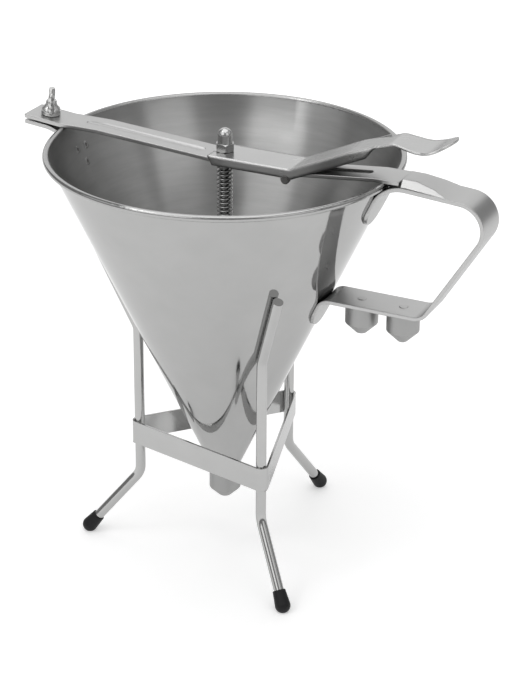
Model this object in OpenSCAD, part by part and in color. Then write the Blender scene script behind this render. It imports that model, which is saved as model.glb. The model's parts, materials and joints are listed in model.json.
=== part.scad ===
// Batter dispenser: a steel funnel with a spring-loaded piston valve, worked by a
// thumb lever above the handle. The funnel stands in a three-legged wire stand and
// carries two spare nozzles under its handle. Millimetres, +Z up, table at z = 0,
// handle towards +X.

/* [Funnel] */
// outer diameter of the rolled rim
rim_d = 190; // [150:1:230]
// height of the top of the rim above the table
rim_z = 235.5; // [200:0.5:280]
// diameter of the rolled bead round the rim
bead_d = 3.4; // [2.4:0.2:5]
// angle between the cone wall and the axis
cone_half_angle = 24.7; // [20:0.1:30]
// sheet thickness of the cone
wall = 0.8; // [0.6:0.1:1.5]

/* [Spout and nozzles] */
// outer diameter of the spout collar and of the nozzles
nozzle_d = 17.4; // [14:0.2:22]
// height of the plain collar under the cone
collar_h = 4.3; // [3:0.1:8]
// thread diameter of the nozzles
thread_d = 14; // [10:1:18]
// length of the threaded spigots
thread_l = 9; // [6:0.5:14]
// bore of the spout
spout_bore = 11; // [8:0.5:13]
// height of the plain cylindrical part of a nozzle
nozzle_body_h = 10.7; // [8:0.1:18]
// outlet diameter of the fitted nozzle
outlet_d = 5; // [2:0.5:6]
// outlet diameter of the spare nozzle next to the cone
spare_inner_outlet_d = 4; // [2:0.5:6]
// outlet diameter of the spare nozzle next to the grip
spare_outer_outlet_d = 3; // [2:0.5:6]
// radial clearance of a nozzle on its thread
thread_gap = 0.05; // [0.02:0.01:0.1]
// height left open between a nozzle and the face above it
nozzle_face_gap = 0.3; // [0.1:0.05:0.6]

/* [Handle] */
// width of the handle strap
strap_w = 21.5; // [14:1:26]
// thickness of the handle, clamp and bridge straps
strap_t = 2; // [1:0.1:2.5]
// reach of the grip beyond the rim
handle_overhang = 53.5; // [45:0.5:70]
// height at which the top face of the upper leg would meet the cone
upper_leg_z = 236; // [225:0.1:250]
// slope of the upper leg, falling outwards
upper_slope = 4; // [0:0.1:8]
// outside radius of the bend at the cone, upper leg
upper_root_r = 18; // [14:1:24]
// outside radius of the bend between upper leg and grip
upper_bend_r = 14.5; // [8:0.5:18]
// slant of the grip from the vertical
grip_slant = 31.6; // [15:0.1:40]
// outside radius of the bend between grip and lower leg
lower_bend_r = 10; // [6:0.5:16]
// height of the top face of the lower leg
lower_leg_z = 166.4; // [150:0.1:190]
// outside radius of the bend at the cone, lower leg
lower_root_r = 8; // [5:0.5:12]
// height of the lower end of the upper tail on the cone
upper_tail_z = 209; // [190:1:215]
// height of the lower end of the lower tail on the cone
lower_tail_z = 147.5; // [120:0.5:150]
// distance from the cone to the inner spare nozzle, along the lower leg
spare_off = 18.4; // [13:0.1:25]
// distance between the two spare nozzles
spare_pitch = 23.3; // [20:0.1:27]

/* [Bridge bar] */
// width of the bridge bar
bridge_w = 18; // [12:1:24]
// length of the free end beyond the rim, over the clamp
bridge_overhang = 21; // [16:0.5:35]
// rise of the free end beyond the rim
bridge_tip_rise = 2; // [0:0.1:4]
// how far the middle lies below the ends
bridge_dip = 4.5; // [2:0.1:6]
// distance from the rim to the shoulder of the tongue
shoulder_overhang = 6.5; // [3:0.1:9]
// width of the tongue in the handle socket
tongue_w = 10; // [6:0.5:14]
// length of the tongue
tongue_l = 10; // [6:0.5:14]
// depth of the pressed stiffening grooves
groove_depth = 1; // [0.5:0.1:1.2]

/* [Clamp] */
// width of the clamp bracket
clamp_w = 18; // [12:1:24]
// distance from the rim to the clamp stud
stud_overhang = 10; // [7:0.5:15]
// diameter of the clamp stud
stud_d = 3.4; // [3:0.1:5]
// length of the stud above the bridge bar
stud_l = 14.8; // [10:0.1:20]
// gap between bracket and bridge bar at their free ends
clamp_gap = 1; // [0.5:0.1:2]
// direction in which the wings point
wing_turn = -57; // [-180:1:180]

/* [Lever] */
// distance from the axis to the lever pivot
pivot_x = 39.5; // [30:0.5:45]
// diameter of the pivot pin
pivot_d = 2.5; // [2:0.1:4]
// outer width of the lever channel
lever_w = 21; // [18:0.5:26]
// sheet thickness of the lever
lever_t = 1.2; // [1:0.1:2]
// depth of the side flanges
flange_h = 5.1; // [4:0.1:8]
// rise angle of the thumb arm
arm_angle = 24.4; // [15:0.1:35]
// width of the lever where the thumb tab begins
tab_neck_w = 18; // [14:0.5:22]
// width of the thumb tab
tab_w = 23; // [18:0.5:30]

/* [Piston] */
// diameter of the piston rod
rod_d = 5; // [4:0.5:6]
// outer diameter of the spring
spring_d = 8.6; // [7:0.2:10]
// wire diameter of the spring
spring_wire = 1.1; // [0.8:0.1:1.4]
// length of the fitted spring
spring_l = 61.5; // [40:0.5:80]
// turns of the spring
spring_turns = 28; // [18:1:34]
// diameter of the valve plug
plug_d = 7.2; // [6:0.2:9]
// width across the flats of the acorn nut
acorn_af = 9; // [7:0.5:10]
// height of the acorn nut
acorn_h = 12.5; // [9:0.5:14]

/* [Stand] */
// diameter of the leg rods
leg_d = 5.6; // [4:0.2:8]
// distance from the axis to the upright part of the left leg
left_leg_r = 48.1; // [44:0.1:58]
// distance from the axis to the upright part of the front leg
front_leg_r = 50; // [44:0.1:58]
// distance from the axis to the upright part of the rear leg
rear_leg_r = 55.5; // [44:0.1:58]
// direction of the left leg
left_leg_angle = -163.5; // [-180:0.5:-140]
// direction of the front leg
front_leg_angle = -40.7; // [-60:0.1:-20]
// direction of the rear leg
rear_leg_angle = 75.7; // [60:0.1:100]
// height of the upper ends of the legs
leg_top_z = 177; // [160:1:190]
// height of the corner between upright and splayed part
splay_z = 40.7; // [30:0.1:60]
// splay of the lower part from the vertical
splay_angle = 39; // [20:1:50]
// height of the top edge of the band
band_top_z = 73.2; // [60:0.1:90]
// height of the band
band_h = 13.5; // [10:0.5:20]
// sheet thickness of the band
band_t = 1.2; // [0.8:0.1:2]
// diameter of the rubber feet
foot_d = 8.5; // [7:0.1:12]
// length of the rubber feet
foot_l = 12.5; // [8:0.5:20]

/* [Hidden] */
$fn = 96;

STEEL = [0.78, 0.79, 0.80];
SATIN = [0.70, 0.71, 0.72];
BRIGHT = [0.84, 0.85, 0.86];
RUBBER = [0.06, 0.06, 0.065];

// --- clearances ---
fit_gap = 0.02;      // between fixed pieces that fill one another
slide_gap = 0.3;     // between pieces that move past one another
run_gap = 0.05;      // radial, pin in a turning hole
rod_gap = 0.2;       // radial, rod in the bridge bar
stand_gap = 0.3;     // between the cone and the legs that carry it
lap = 0.3;           // length by which runs reach into the bends they join
lap_step = 0.01;     // by which a rod's bend is thinner than its runs
strap_step = 0.003;  // by which flats and bends of a strap differ on each face

// --- cone ---
rim_r = rim_d / 2;
bead_r = bead_d / 2;
bead_z = rim_z - bead_r;
wall_across = wall / cos(cone_half_angle);
cone_slope = tan(cone_half_angle);
apex_z = bead_z - (rim_r - bead_d + wall_across) / cone_slope;
cone_end_z = apex_z + nozzle_d / 2 / cone_slope;
wall_normal = 180 - cone_half_angle;

// --- spout and nozzles ---
nozzle_r = nozzle_d / 2;
collar_z = cone_end_z - collar_h;
nozzle_top_z = collar_z - nozzle_face_gap;
tip_wall = 0.9;      // wall round the outlet at the tip
tip_round = 0.9;     // height of the chamfer round the tip
nozzle_bore_l = thread_l + 0.4;
seat_r = 6.5;        // widest radius of the cone inside a nozzle

// --- handle strap ---
upper_normal = 90 - upper_slope;
upper_corner = [cone_r(upper_leg_z) + fit_gap, upper_leg_z];
upper_root = bend_centre(upper_corner, wall_normal, upper_normal, upper_root_r);
handle_reach = rim_r + handle_overhang;
upper_bend_x = handle_reach - upper_bend_r;
upper_bend = [upper_bend_x, line_z(upper_corner, upper_normal, upper_bend_x, -upper_bend_r)];
lower_corner = [cone_r(lower_leg_z) + fit_gap, lower_leg_z];
lower_root = bend_centre(lower_corner, wall_normal, 90, lower_root_r);
lower_bend_z = lower_leg_z - strap_t + lower_bend_r;
grip_offset = upper_bend * unit(-grip_slant) + upper_bend_r - lower_bend_r;
lower_bend_x = (grip_offset + lower_bend_z * sin(grip_slant)) / cos(grip_slant);
lower_bend = [lower_bend_x, lower_bend_z];
spare_inner_x = cone_r(lower_leg_z) + spare_off;
spare_outer_x = spare_inner_x + spare_pitch;
root_lap = 1;        // length by which a flat leg reaches into its turned root
rivet_d = 4;
rivet_head_d = 5;
rivet_head_h = 0.25;

// --- bridge bar ---
bridge_end_z = rim_z + fit_gap + strap_t;
bridge_mid_z = bridge_end_z - bridge_dip;
bridge_under_z = bridge_mid_z - strap_t;
bridge_reach = rim_r + bridge_overhang;
shoulder_x = rim_r + shoulder_overhang;
stud_x = rim_r + stud_overhang;
bridge_left_bend = [23 - rim_r, -4];
bridge_right_bend = [45, rim_r - 7];
groove_r = 3.5;
bridge_tip_tilt = atan2(bridge_tip_rise, bridge_reach - rim_r);
bridge_stud_z = bridge_end_z + (stud_x - rim_r) * tan(bridge_tip_tilt);
bridge_top = [
    [-bridge_reach, bridge_end_z + bridge_tip_rise], [-rim_r, bridge_end_z],
    [bridge_left_bend[0], bridge_end_z],
    [bridge_left_bend[1], bridge_mid_z], [bridge_right_bend[0], bridge_mid_z],
    [bridge_right_bend[1], bridge_end_z], [shoulder_x + tongue_l, bridge_end_z]
];
left_groove = [bridge_left_bend[0] - 8, bridge_left_bend[1] - 10];
right_groove = [bridge_right_bend[0] + 7, bridge_right_bend[1] - 6.5];
bar_crop_h = bridge_dip + bridge_tip_rise + 2 * strap_t + 10;  // height of the block that crops the bar

// --- handle socket ---
socket_x = shoulder_x + 1;
socket_l = 25.5;
socket_roof = 1.1;
socket_room = 0.25;
socket_top_z = bridge_end_z + socket_room + socket_roof;

// --- clamp bracket ---
clamp_normal = 90 + bridge_tip_tilt;
clamp_free_z = bridge_end_z + bridge_tip_rise - strap_t - clamp_gap;
clamp_corner_z = clamp_free_z - (bridge_reach - rim_r + bead_d) * tan(bridge_tip_tilt);
clamp_corner = [cone_r(clamp_corner_z) + fit_gap, clamp_corner_z];
clamp_root_r = 20;
clamp_root = bend_centre(clamp_corner, wall_normal, clamp_normal, clamp_root_r);
clamp_tail_z = rim_z - 32.5;
clamp_end_x = bridge_reach - 0.5;
hub_d = 10.4;
hub_h = 4.6;
neck_h = 3;
wing_t = 2.3;
wing_r = 3.2;

// --- lever ---
lever_half = lever_w / 2;
lever_gap = 0.6;     // lets the heel of the lever turn down past the bar
lever_top_z = bridge_mid_z + lever_gap + lever_t;
lever_end_x = -5;
corner_x = pivot_x + 2.5;
knuckle_r = 2.1;
pivot_r = pivot_d / 2;
pivot_z = bridge_under_z - knuckle_r;
ear_r = 2.5;
corner_bend_r = 6;
arm_l = 33;
arm_ease = 5.1;
neck_l = 22.5;
crest_angle = 29;
crest_l = 8;
valley_angle = 38;
tab_end_l = 9.5;
waist_x = rim_r - 19;
neck_x = rim_r + 2;
tab_centre_x = rim_r + 21.9;
fork_w = 5.6;
fork_end_x = 3;
arm_flange_l = [43, 52];

// --- piston ---
rod_r = rod_d / 2;
nut_seat_z = lever_top_z + 0.1;
nut_hex_h = 4.4;
nut_dome_r = acorn_af / 2 - 0.5;
rod_top_z = nut_seat_z + acorn_h - nut_dome_r - 1;
spring_top_z = bridge_under_z - fit_gap;
spring_end_z = spring_top_z - spring_l;
collar_d = 9.4;
plug_r = plug_d / 2;
plug_gap = 0.15;
plug_seat_z = nozzle_top_z - nozzle_bore_l - (seat_r - plug_r) + plug_gap;
plug_tip_r = 1.2;
plug_top_z = cone_end_z + 6;
rod_end_z = plug_seat_z + 6;

// --- stand ---
leg_rod_r = leg_d / 2;
leg_offset = (leg_rod_r + stand_gap) / cos(cone_half_angle);
leg_bend_r = 12;
foot_ball_r = foot_d / 2;
foot_ball_z = 3.4;
splay_l = (splay_z - foot_ball_z) / cos(splay_angle);
leg_middles = [
    left_leg_r * [cos(left_leg_angle), sin(left_leg_angle)],
    front_leg_r * [cos(front_leg_angle), sin(front_leg_angle)],
    rear_leg_r * [cos(rear_leg_angle), sin(rear_leg_angle)]
];

// the model's origin lies under the middle of its outline
middle_x = (handle_reach - bridge_reach) / 2;

// --- geometry helpers, [radius or x, z] in the plane of the handle ---
function unit(a) = [cos(a), sin(a)];
function cone_r(z) = (z - apex_z) * cone_slope;
function bend_centre(corner, a, b, r) =
    corner - r * (unit(a) + unit(b)) / (1 + unit(a) * unit(b));
function line_z(p, normal, x, off) =
    p.y + (off - (x - p.x) * cos(normal)) / sin(normal);

// sector of a strap bend: outside radius r, from angle a to angle b
module strap_bend(centre, r, a, b, t = strap_t) {
    translate(centre)
        intersection() {
            difference() {
                circle(r - strap_step);
                circle(r - t + strap_step);
            }
            polygon([
                [0, 0], 2 * r * unit(a), 2 * r * unit((2 * a + b) / 3),
                2 * r * unit((a + 2 * b) / 3), 2 * r * unit(b)
            ]);
        }
}

// straight strap whose left face runs from p to q
module strap_run(p, q, t = strap_t) {
    translate(p)
        rotate(atan2(q.y - p.y, q.x - p.x))
            translate([-lap, -t])
                square([norm(q - p) + 2 * lap, t]);
}

// stands an [x, z] outline up and gives it a width across the handle plane
module upright(width) {
    rotate([90, 0, 0])
        linear_extrude(width, center = true)
            children();
}

// strap end that wraps the cone: turned round the axis, cut to a round-ended tail
module wrapped_tail(width, tail_z) {
    intersection() {
        rotate([0, 0, -15])
            rotate_extrude(angle = 30)
                children();
        translate([0, 0, tail_z + width / 2])
            rotate([90, 0, 90])
                linear_extrude(rim_d) {
                    circle(d = width);
                    translate([-width / 2, 0])
                        square([width, rim_z]);
                }
    }
}

// outline of a strap root: the run on the cone and the bend away from it
module strap_root(centre, r, normal, tail_z) {
    start = centre + r * unit(wall_normal);
    low = [start.x - (start.y - tail_z) * cone_slope, tail_z];
    strap_run(low, start);
    strap_bend(centre, r, normal, wall_normal);
}

// strap made of runs and bends, [length, turn, radius of the upper face]
module strap_path(steps, t, i = 0) {
    if (i < len(steps)) {
        run = steps[i][0];
        turn = steps[i][1];
        r = steps[i][2];
        side = turn < 0 ? -1 : 1;
        translate([i == 0 ? 0 : -lap, -t])
            square([run + (i == 0 ? lap : 2 * lap), t]);
        translate([run, 0]) {
            if (turn > 0)
                strap_bend([0, r], r + t, -90, -90 + turn, t);
            if (turn < 0)
                strap_bend([0, -r], r, 90 + turn, 90, t);
            translate([0, side * r])
                rotate(turn)
                    translate([0, -side * r])
                        strap_path(steps, t, i + 1);
        }
    }
}

// round rod between two points of the XZ plane
module rod_run(p, q, r) {
    translate([p.x, 0, p.y])
        rotate([0, atan2(q.x - p.x, q.y - p.y), 0])
            cylinder(h = norm(q - p), r = r);
}

// bend of a round rod in the XZ plane, swept from angle a to angle b
module rod_bend(centre, bend_r, r, a, b) {
    over = lap / bend_r * 180 / PI;
    translate([centre.x, 0, centre.y])
        rotate([90, 0, 0])
            rotate([0, 0, a - over])
                rotate_extrude(angle = b - a + 2 * over)
                    translate([bend_r, 0])
                        circle(r - lap_step, $fn = 48);
}

// --- funnel ---
module funnel_cone() {
    color(BRIGHT)
        rotate_extrude($fn = 180) {
            polygon([
                [cone_r(cone_end_z), cone_end_z], [cone_r(bead_z), bead_z],
                [cone_r(bead_z) - wall_across, bead_z],
                [cone_r(cone_end_z) - wall_across, cone_end_z]
            ]);
            translate([rim_r - bead_r, bead_z])
                circle(bead_r, $fn = 48);
        }
}

module spout() {
    mouth_r = cone_r(cone_end_z) - wall_across;
    color(SATIN)
        difference() {
            union() {
                translate([0, 0, collar_z])
                    cylinder(h = collar_h, d = nozzle_d);
                translate([0, 0, collar_z - thread_l])
                    cylinder(h = thread_l + 1, d = thread_d);
            }
            translate([0, 0, collar_z - thread_l - 1])
                cylinder(h = collar_h + thread_l + 2, d = spout_bore);
            translate([0, 0, cone_end_z - collar_h])
                cylinder(h = collar_h, r1 = spout_bore / 2, r2 = mouth_r);
        }
}

// nozzle with its top face at z = 0, tip downwards
module nozzle(outlet) {
    outlet_r = outlet / 2;
    tip_r = outlet_r + tip_wall;
    cone_h = nozzle_r - tip_r - tip_round;
    tip_z = -nozzle_body_h - cone_h - tip_round;
    ledge_z = -nozzle_bore_l;
    color(SATIN)
        rotate_extrude()
            polygon([
                [thread_d / 2 + thread_gap, 0], [nozzle_r - 0.4, 0], [nozzle_r, -0.4],
                [nozzle_r, -nozzle_body_h], [tip_r + tip_round, -nozzle_body_h - cone_h],
                [tip_r, tip_z], [outlet_r, tip_z], [outlet_r, ledge_z - seat_r + outlet_r],
                [seat_r, ledge_z], [thread_d / 2 + thread_gap, ledge_z]
            ]);
}

module fitted_nozzle() {
    translate([0, 0, nozzle_top_z])
        nozzle(outlet_d);
}

module spare_nozzle(x, outlet) {
    translate([x, 0, lower_leg_z - strap_t - nozzle_face_gap])
        nozzle(outlet);
}

module spare_nozzle_inner() {
    spare_nozzle(spare_inner_x, spare_inner_outlet_d);
}

module spare_nozzle_outer() {
    spare_nozzle(spare_outer_x, spare_outer_outlet_d);
}

// --- handle ---
module handle_flat() {
    top_n = unit(upper_normal);
    grip_n = unit(-grip_slant);
    along = unit(-upper_slope);
    strap_run(
        upper_root + upper_root_r * top_n - root_lap * along,
        upper_bend + upper_bend_r * top_n
    );
    strap_bend(upper_bend, upper_bend_r, -grip_slant, upper_normal);
    strap_run(upper_bend + upper_bend_r * grip_n, lower_bend + lower_bend_r * grip_n);
    strap_bend(lower_bend, lower_bend_r, -90, -grip_slant);
    strap_run(
        [lower_bend.x, lower_leg_z - strap_t],
        [lower_root.x - root_lap, lower_leg_z - strap_t]
    );
}

// hump pressed up from the upper leg, open towards the funnel
module socket_hump() {
    far_x = socket_x + socket_l;
    intersection() {
        upright(strap_w - 0.4)
            polygon([
                [socket_x, line_z(upper_corner, upper_normal, socket_x, -strap_t / 2)],
                [socket_x, socket_top_z],
                [socket_x + 8, socket_top_z - 0.2],
                [socket_x + 18, socket_top_z - 2.4],
                [far_x, line_z(upper_corner, upper_normal, far_x, 0)],
                [far_x, line_z(upper_corner, upper_normal, far_x, -strap_t / 2)]
            ]);
        translate([socket_x, 0, rim_z])
            rotate([90, 0, 90])
                linear_extrude(socket_l)
                    polygon([[-12.1, -4], [-6.3, 3.3], [6.3, 3.3], [12.1, -4]]);
    }
}

module handle() {
    color(STEEL)
        difference() {
            union() {
                upright(strap_w)
                    handle_flat();
                wrapped_tail(strap_w, upper_tail_z)
                    strap_root(upper_root, upper_root_r, upper_normal, upper_tail_z);
                wrapped_tail(strap_w, lower_tail_z)
                    strap_root(lower_root, lower_root_r, 90, lower_tail_z);
                socket_hump();
            }
            // room for the tongue
            upright(tongue_w + 2 * socket_room)
                polygon([
                    [socket_x - 3, line_z(upper_corner, upper_normal, socket_x - 3, 0)],
                    [socket_x - 3, bridge_end_z + socket_room],
                    [shoulder_x + tongue_l + 1, bridge_end_z + socket_room],
                    [shoulder_x + tongue_l + 1, rim_z - 0.5]
                ]);
            for (x = [spare_inner_x, spare_outer_x])
                translate([x, 0, lower_leg_z - 2 * strap_t])
                    cylinder(h = 3 * strap_t, d = rivet_d + 2 * fit_gap);
        }
}

// two studs riveted through the lower leg, one for each spare nozzle
module nozzle_studs() {
    color(SATIN)
        for (x = [spare_inner_x, spare_outer_x])
            translate([x, 0, lower_leg_z]) {
                translate([0, 0, -strap_t - thread_l])
                    cylinder(h = thread_l, d = thread_d);
                translate([0, 0, -strap_t])
                    cylinder(h = strap_t, d = rivet_d);
                cylinder(h = rivet_head_h, d1 = rivet_head_d, d2 = rivet_head_d - 0.8);
            }
}

// --- clamp ---
// puts a piece on the axis of the stud, its height 0 at the top face of the bridge bar
module on_stud() {
    translate([-stud_x, 0, bridge_stud_z])
        rotate([0, bridge_tip_tilt, 0])
            children();
}

module clamp_bracket() {
    color(STEEL)
        difference() {
            mirror([1, 0, 0]) {
                upright(clamp_w)
                    strap_run(
                        clamp_root + clamp_root_r * unit(clamp_normal)
                            - root_lap * unit(bridge_tip_tilt),
                        [clamp_end_x, line_z(clamp_corner, clamp_normal, clamp_end_x, 0)]
                    );
                wrapped_tail(clamp_w, clamp_tail_z)
                    strap_root(clamp_root, clamp_root_r, clamp_normal, clamp_tail_z);
            }
            on_stud()
                translate([0, 0, -4 * strap_t])
                    cylinder(h = 4 * strap_t, d = stud_d + 2 * fit_gap);
        }
}

// stud with a flange that bears on the bracket from above
module clamp_stud() {
    foot_z = -2 * strap_t - clamp_gap;
    color(BRIGHT)
        on_stud() {
            translate([0, 0, foot_z])
                cylinder(h = stud_l - foot_z, d = stud_d);
            translate([0, 0, -strap_t - clamp_gap + 0.15])
                cylinder(h = clamp_gap - 0.25, d = stud_d + 3);
        }
}

module wing_nut() {
    color(BRIGHT)
        on_stud()
            translate([0, 0, run_gap])
                rotate([0, 0, wing_turn])
                    difference() {
                        union() {
                            cylinder(h = hub_h, d = hub_d);
                            translate([0, 0, hub_h])
                                cylinder(h = neck_h, d1 = hub_d - 3.4, d2 = stud_d + 1.8);
                            for (side = [0, 180])
                                rotate([0, 0, side])
                                    upright(wing_t) {
                                        polygon([[2, 1], [4.2, 1], [9.6, 3.6], [7, 8.4], [2, 5.6]]);
                                        translate([7.2, 5.6])
                                            circle(wing_r);
                                    }
                        }
                        translate([0, 0, -1])
                            cylinder(h = stud_l, d = stud_d + 2 * run_gap);
                    }
}

// --- bridge bar ---
module bridge_outline() {
    last = len(bridge_top) - 1;
    under = [for (i = [last:-1:0]) bridge_top[i] - [0, strap_t]];
    polygon(concat(bridge_top, under));
}

// round-bottomed groove of radius r pressed along a sloped arm, between two x
module groove(xs, arm, r) {
    slope = (arm[1].y - arm[0].y) / (arm[1].x - arm[0].x);
    centre_off = groove_r - groove_depth;
    half = sqrt(r * r - centre_off * centre_off);
    ends = [for (x = [xs[0] - half, xs[1] + half]) [x, arm[0].y + (x - arm[0].x) * slope + centre_off]];
    intersection() {
        rod_run(ends[0], ends[1], r);
        translate([0, 0, bridge_under_z - 5])
            linear_extrude(bar_crop_h) {
                for (x = xs)
                    translate([x, 0])
                        circle(half);
                translate([xs[0], -half])
                    square([xs[1] - xs[0], 2 * half]);
            }
    }
}

module grooves(r) {
    groove(left_groove, [bridge_top[2], bridge_top[3]], r);
    groove(right_groove, [bridge_top[4], bridge_top[5]], r);
}

module bridge_bar() {
    body_l = bridge_reach + shoulder_x;
    color(STEEL)
        difference() {
            union() {
                intersection() {
                    upright(bridge_w)
                        bridge_outline();
                    translate([0, 0, bridge_under_z - 5])
                        linear_extrude(bar_crop_h) {
                            translate([-bridge_reach, -bridge_w / 2])
                                square([body_l, bridge_w]);
                            translate([0, -tongue_w / 2])
                                square([shoulder_x + tongue_l, tongue_w]);
                        }
                }
                // ribs that the pressed grooves leave underneath
                intersection() {
                    grooves(groove_r + strap_t);
                    upright(4 * groove_r)
                        translate([0, -0.8 * strap_t])
                            bridge_outline();
                }
            }
            grooves(groove_r);
            translate([0, 0, bridge_under_z - 5])
                cylinder(h = 10, r = rod_r + rod_gap);
            on_stud()
                translate([0, 0, -5])
                    cylinder(h = 10, d = stud_d + 1);
        }
}

// tube welded under the bridge bar, round the pivot pin
module pivot_knuckle() {
    color(STEEL)
        translate([pivot_x, 0, pivot_z])
            difference() {
                upright(bridge_w) {
                    circle(knuckle_r, $fn = 48);
                    translate([-knuckle_r, 0])
                        square([2 * knuckle_r, knuckle_r]);
                }
                upright(bridge_w + 2)
                    circle(pivot_r + fit_gap, $fn = 48);
            }
}

module pivot_pin() {
    head_y = lever_half + 0.1;
    color(BRIGHT)
        translate([pivot_x, 0, pivot_z]) {
            upright(2 * head_y)
                circle(pivot_r, $fn = 48);
            for (side = [-1, 1])
                translate([0, side * (head_y + 0.3), 0])
                    upright(0.6)
                        circle(pivot_r + 0.7, $fn = 48);
        }
}

// --- lever ---
// side view of the web: level arm, rising thumb arm, crest, valley, turned-up end
module lever_web() {
    translate([lever_end_x, lever_top_z])
        strap_path([
            [corner_x - lever_end_x - corner_bend_r * tan(arm_angle / 2), arm_angle, corner_bend_r],
            [arm_l, -arm_ease, 12],
            [neck_l, -crest_angle, 8],
            [crest_l, valley_angle, 22],
            [tab_end_l, 0, 1]
        ], lever_t);
}

module lever_flange_side() {
    mid = lever_top_z - lever_t / 2;
    low = lever_top_z - flange_h;
    knee_x = corner_x + (flange_h + 0.3) * tan(arm_angle / 2);
    difference() {
        union() {
            polygon([
                [lever_end_x, mid], [corner_x, mid], [knee_x, low], [lever_end_x + 2.5, low]
            ]);
            translate([corner_x, lever_top_z])
                rotate(arm_angle)
                    polygon([
                        [-1, -0.7 * lever_t], [arm_flange_l[1], -0.7 * lever_t],
                        [arm_flange_l[0], -flange_h - 0.6], [-1, -flange_h - 0.2]
                    ]);
            translate([pivot_x, pivot_z])
                circle(ear_r, $fn = 48);
        }
        translate([pivot_x, pivot_z])
            circle(pivot_r + run_gap, $fn = 48);
    }
}

// plan of the lever, inset by the sheet thickness for the inside of the channel
module lever_plan(inset) {
    half = lever_half - inset;
    neck = tab_neck_w / 2 - inset;
    tab_r = tab_w / 2 - inset;
    join = [tab_centre_x - 0.15 * tab_r, 0.97 * tab_r];
    polygon([
        [lever_end_x - 1, -half], [waist_x, -half], [neck_x, -neck], [join.x, -join.y],
        [tab_centre_x, 0], join, [neck_x, neck], [waist_x, half], [lever_end_x - 1, half]
    ]);
    translate([tab_centre_x, 0])
        circle(tab_r);
}

module lever() {
    low = pivot_z - ear_r - 1;
    color(STEEL)
        difference() {
            union() {
                intersection() {
                    upright(2 * tab_w)
                        lever_web();
                    translate([0, 0, low])
                        linear_extrude(60)
                            lever_plan(0);
                }
                intersection() {
                    upright(2 * tab_w)
                        lever_flange_side();
                    translate([0, 0, low])
                        linear_extrude(60)
                            difference() {
                                lever_plan(0);
                                lever_plan(lever_t);
                                translate([lever_end_x - 2, lever_t - lever_half])
                                    square([10, lever_w - 2 * lever_t]);
                            }
                }
            }
            // fork round the rod
            translate([lever_end_x - 1, -fork_w / 2, low])
                cube([fork_end_x - fork_w / 2 + 1 - lever_end_x, fork_w, 60]);
            translate([fork_end_x - fork_w / 2, 0, low])
                cylinder(h = 60, r = fork_w / 2 - lap_step);
        }
}

// --- piston ---
module piston_rod() {
    color(BRIGHT)
        translate([0, 0, rod_end_z])
            cylinder(h = rod_top_z - rod_end_z, r = rod_r);
}

module acorn_nut() {
    dome_z = acorn_h - nut_dome_r;
    color(BRIGHT)
        translate([0, 0, nut_seat_z])
            difference() {
                union() {
                    intersection() {
                        cylinder(h = nut_hex_h, d = acorn_af / cos(30), $fn = 6);
                        cylinder(h = nut_hex_h, r1 = acorn_af / 2 + nut_hex_h, r2 = acorn_af / 2);
                        cylinder(h = nut_hex_h, r1 = acorn_af / 2, r2 = acorn_af / 2 + nut_hex_h);
                    }
                    cylinder(h = dome_z, r = nut_dome_r);
                    translate([0, 0, dome_z])
                        sphere(nut_dome_r);
                }
                translate([0, 0, -1])
                    cylinder(h = rod_top_z - nut_seat_z + 1 + fit_gap, r = rod_r + fit_gap);
            }
}

// ring fixed on the rod, under the spring
module spring_collar() {
    color(SATIN)
        translate([0, 0, spring_end_z - fit_gap - 3])
            difference() {
                cylinder(h = 3, d = collar_d);
                translate([0, 0, -1])
                    cylinder(h = 5, r = rod_r + fit_gap);
            }
}

// coil of round wire, swept as one closed skin
module spring() {
    sides = 6;
    per_turn = 14;
    wire_r = spring_wire / 2;
    coil_r = spring_d / 2 - wire_r;
    steps = spring_turns * per_turn;
    height = spring_l - spring_wire - 2 * fit_gap;
    points = [
        for (i = [0:steps], j = [0:sides - 1])
            let (a = 360 * i / per_turn, b = 360 * j / sides, r = coil_r + wire_r * cos(b))
                [r * cos(a), r * sin(a), height * i / steps + wire_r * sin(b)]
    ];
    skin = [
        for (i = [0:steps - 1], j = [0:sides - 1])
            let (k = (j + 1) % sides)
                [i * sides + j, i * sides + k, (i + 1) * sides + k, (i + 1) * sides + j]
    ];
    ends = [
        [for (j = [sides - 1:-1:0]) j],
        [for (j = [0:sides - 1]) steps * sides + j]
    ];
    color(BRIGHT)
        translate([0, 0, spring_end_z + wire_r + fit_gap])
            polyhedron(points = points, faces = concat(skin, ends));
}

module valve_plug() {
    tip_z = plug_seat_z - (plug_r - plug_tip_r);
    color(SATIN)
        difference() {
            rotate_extrude()
                polygon([
                    [0, tip_z], [plug_tip_r, tip_z], [plug_r, plug_seat_z],
                    [plug_r, plug_top_z - 1.5], [rod_r + 0.6, plug_top_z], [0, plug_top_z]
                ]);
            translate([0, 0, rod_end_z - fit_gap])
                cylinder(h = plug_top_z - rod_end_z + 1, r = rod_r + fit_gap);
        }
}

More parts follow.
